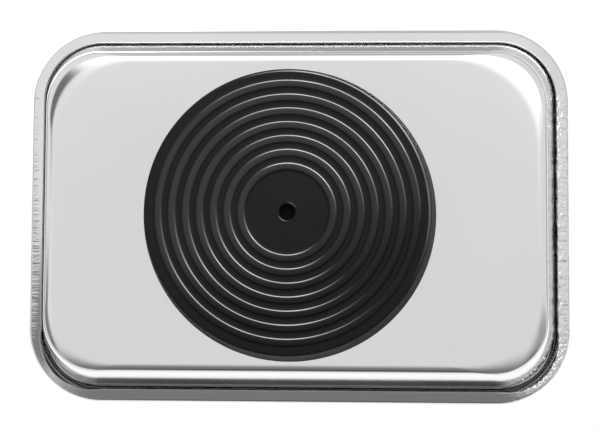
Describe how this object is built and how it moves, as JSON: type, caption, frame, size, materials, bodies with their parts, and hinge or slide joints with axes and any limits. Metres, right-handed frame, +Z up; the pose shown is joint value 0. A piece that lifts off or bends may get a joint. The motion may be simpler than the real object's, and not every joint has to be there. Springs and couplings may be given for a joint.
{
  "type": "magnetic parts tray",
  "caption": "Shallow oblong steel tray with rounded corners, sloping walls and a rolled rim, on a round ribbed rubber boot that covers a ring magnet.",
  "frame": {"origin": "middle of the rim's outline, at the level of the sole's rings, which the tray stands on", "axes": "+X along the tray's length, +Y along its width, +Z up out of the open tray"},
  "size_m": [0.152, 0.1054, 0.0385],
  "materials": {
    "polished_steel": "polished stainless sheet",
    "black_rubber": "moulded, satin",
    "ferrite": "ground ceramic",
    "plate_steel": "plated, dull",
    "zinc_plated": "bright zinc"
  },
  "bodies": {
    "root": {"tray_pan": "polished_steel", "magnet_boot": "black_rubber", "ring_magnet": "ferrite", "backing_plate": "plate_steel", "pan_screw": "zinc_plated", "head_washer": "zinc_plated", "lock_washer": "zinc_plated", "hex_nut": "zinc_plated"}
  },
  "joints": []
}
